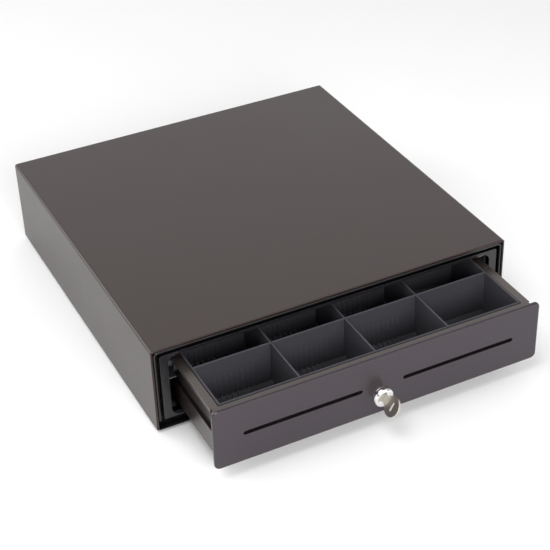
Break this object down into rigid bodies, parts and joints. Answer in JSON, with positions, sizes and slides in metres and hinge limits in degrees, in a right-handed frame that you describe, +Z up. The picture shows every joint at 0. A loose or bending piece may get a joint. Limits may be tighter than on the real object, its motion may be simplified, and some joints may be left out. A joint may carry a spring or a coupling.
{
  "type": "cash drawer",
  "caption": "Steel cash drawer with a roller-mounted drawer, key lock, two media slots, a moulded coin and note till and a solenoid latch.",
  "frame": {"origin": "centre of the four counter-fixing holes, on the underside of the case's base", "axes": "+X to the right, +Y to the back (the drawer opens towards -Y), +Z up"},
  "size_m": [0.41, 0.5415, 0.102],
  "materials": {
    "case_paint": "satin black powder coat with a fine texture",
    "frame_paint": "semi-gloss black paint",
    "panel_paint": "satin black powder coat",
    "drawer_paint": "semi-gloss black paint",
    "inner_steel": "zinc-coated sheet, dull",
    "plated_steel": "zinc plated",
    "bright_steel": "bright drawn",
    "screw_steel": "blackened",
    "lock_chrome": "bright chrome",
    "key_nickel": "nickel plated, stamped",
    "till_plastic": "fine moulded texture",
    "clip_plastic": "moulded, slight sheen",
    "nylon_black": "moulded",
    "coil_tape": "wound tape",
    "foot_rubber": "moulded"
  },
  "bodies": {
    "case": {"base_pan": "frame_paint", "front_frame": "frame_paint", "top_cover": "case_paint", "rear_panel": "case_paint", "side_support_left": "inner_steel", "side_support_right": "inner_steel", "runner_left": "inner_steel", "runner_right": "inner_steel", "front_roller_pin_left": "bright_steel", "front_roller_pin_right": "bright_steel", "cover_screws": "screw_steel", "rubber_feet": "foot_rubber", "lock_keeper": "inner_steel", "latch_bracket": "plated_steel", "bracket_screws": "screw_steel", "latch_pin": "bright_steel", "solenoid_frame": "plated_steel", "solenoid_coil": "coil_tape", "plunger_spring": "bright_steel", "ejector_post": "nylon_black", "ejector_spring": "bright_steel", "microswitch": "nylon_black", "signal_socket": "nylon_black"},
    "drawer": {"drawer_pan": "drawer_paint", "drawer_rail_left": "drawer_paint", "drawer_rail_right": "drawer_paint", "front_panel": "panel_paint", "panel_nuts": "screw_steel", "lock_body": "lock_chrome", "lock_nut": "plated_steel", "striker": "plated_steel", "rear_roller_pin_left": "bright_steel", "rear_roller_pin_right": "bright_steel", "till_tray": "till_plastic", "coin_divider_left": "till_plastic", "coin_divider_centre": "till_plastic", "coin_divider_right": "till_plastic", "note_divider_left": "till_plastic", "note_divider_centre": "till_plastic", "note_divider_right": "till_plastic", "clip_rod": "bright_steel", "clip_springs": "bright_steel"},
    "front_wheel_left": {"front_roller_left": "nylon_black"},
    "front_wheel_right": {"front_roller_right": "nylon_black"},
    "rear_wheel_left": {"rear_roller_left": "nylon_black"},
    "rear_wheel_right": {"rear_roller_right": "nylon_black"},
    "latch": {"latch_lever": "plated_steel"},
    "plunger": {"solenoid_plunger": "bright_steel"},
    "lock_core": {"lock_plug": "lock_chrome", "lock_cam": "plated_steel", "cam_screw": "screw_steel"},
    "key_body": {"key": "key_nickel"},
    "clip_1": {"note_clip_1": "clip_plastic"},
    "clip_2": {"note_clip_2": "clip_plastic"},
    "clip_3": {"note_clip_3": "clip_plastic"},
    "clip_4": {"note_clip_4": "clip_plastic"}
  },
  "joints": [
    {"name": "drawer_slide", "type": "slide", "parent": "case", "child": "drawer", "axis": [0, -1, 0], "range_m": [-0.0956, 0.1744], "deforming": ["ejector_spring"]},
    {"name": "front_roller_left_turn", "type": "hinge", "parent": "case", "child": "front_wheel_left", "pos_m": [-0.1763, -0.1885, 0.0662], "axis": [1, 0, 0], "range_deg": [-520, 935]},
    {"name": "rear_roller_left_turn", "type": "hinge", "parent": "drawer", "child": "rear_wheel_left", "pos_m": [-0.1825, 0.0309, 0.0656], "axis": [1, 0, 0], "range_deg": [-520, 935]},
    {"name": "front_roller_right_turn", "type": "hinge", "parent": "case", "child": "front_wheel_right", "pos_m": [0.1763, -0.1885, 0.0662], "axis": [1, 0, 0], "range_deg": [-520, 935]},
    {"name": "rear_roller_right_turn", "type": "hinge", "parent": "drawer", "child": "rear_wheel_right", "pos_m": [0.1825, 0.0309, 0.0656], "axis": [1, 0, 0], "range_deg": [-520, 935]},
    {"name": "latch_turn", "type": "hinge", "parent": "case", "child": "latch", "pos_m": [0.006, 0.1845, 0.0305], "axis": [0, 0, 1], "range_deg": [0, 14]},
    {"name": "plunger_pull", "type": "slide", "parent": "case", "child": "plunger", "axis": [1, 0, 0], "range_m": [0, 0.00475], "stiffness_N_per_m": 60, "springref_m": -0.01, "deforming": ["plunger_spring"]},
    {"name": "lock_turn", "type": "hinge", "parent": "drawer", "child": "lock_core", "pos_m": [0, -0.3031, 0.033], "axis": [0, 1, 0], "range_deg": [-31, 59]},
    {"name": "key_pull", "type": "slide", "parent": "lock_core", "child": "key_body", "axis": [0, -1, 0], "range_m": [0, 0.03]},
    {"name": "clip_1_lift", "type": "hinge", "parent": "drawer", "child": "clip_1", "pos_m": [-0.126, 0.0089, 0.068], "axis": [-1, 0, 0], "range_deg": [0, 25], "stiffness_Nm_per_rad": 0.03, "springref_deg": -45.84},
    {"name": "clip_2_lift", "type": "hinge", "parent": "drawer", "child": "clip_2", "pos_m": [-0.042, 0.0089, 0.068], "axis": [-1, 0, 0], "range_deg": [0, 25], "stiffness_Nm_per_rad": 0.03, "springref_deg": -45.84},
    {"name": "clip_3_lift", "type": "hinge", "parent": "drawer", "child": "clip_3", "pos_m": [0.042, 0.0089, 0.068], "axis": [-1, 0, 0], "range_deg": [0, 25], "stiffness_Nm_per_rad": 0.03, "springref_deg": -45.84},
    {"name": "clip_4_lift", "type": "hinge", "parent": "drawer", "child": "clip_4", "pos_m": [0.126, 0.0089, 0.068], "axis": [-1, 0, 0], "range_deg": [0, 25], "stiffness_Nm_per_rad": 0.03, "springref_deg": -45.84}
  ],
  "couplings": [
    {"joint": "front_roller_left_turn", "follows": "drawer_slide", "rad_per_m": 92.593},
    {"joint": "front_roller_right_turn", "follows": "drawer_slide", "rad_per_m": 92.593},
    {"joint": "rear_roller_left_turn", "follows": "drawer_slide", "rad_per_m": 92.593},
    {"joint": "rear_roller_right_turn", "follows": "drawer_slide", "rad_per_m": 92.593},
    {"joint": "latch_turn", "follows": "plunger_pull", "rad_per_m": 51.282}
  ]
}
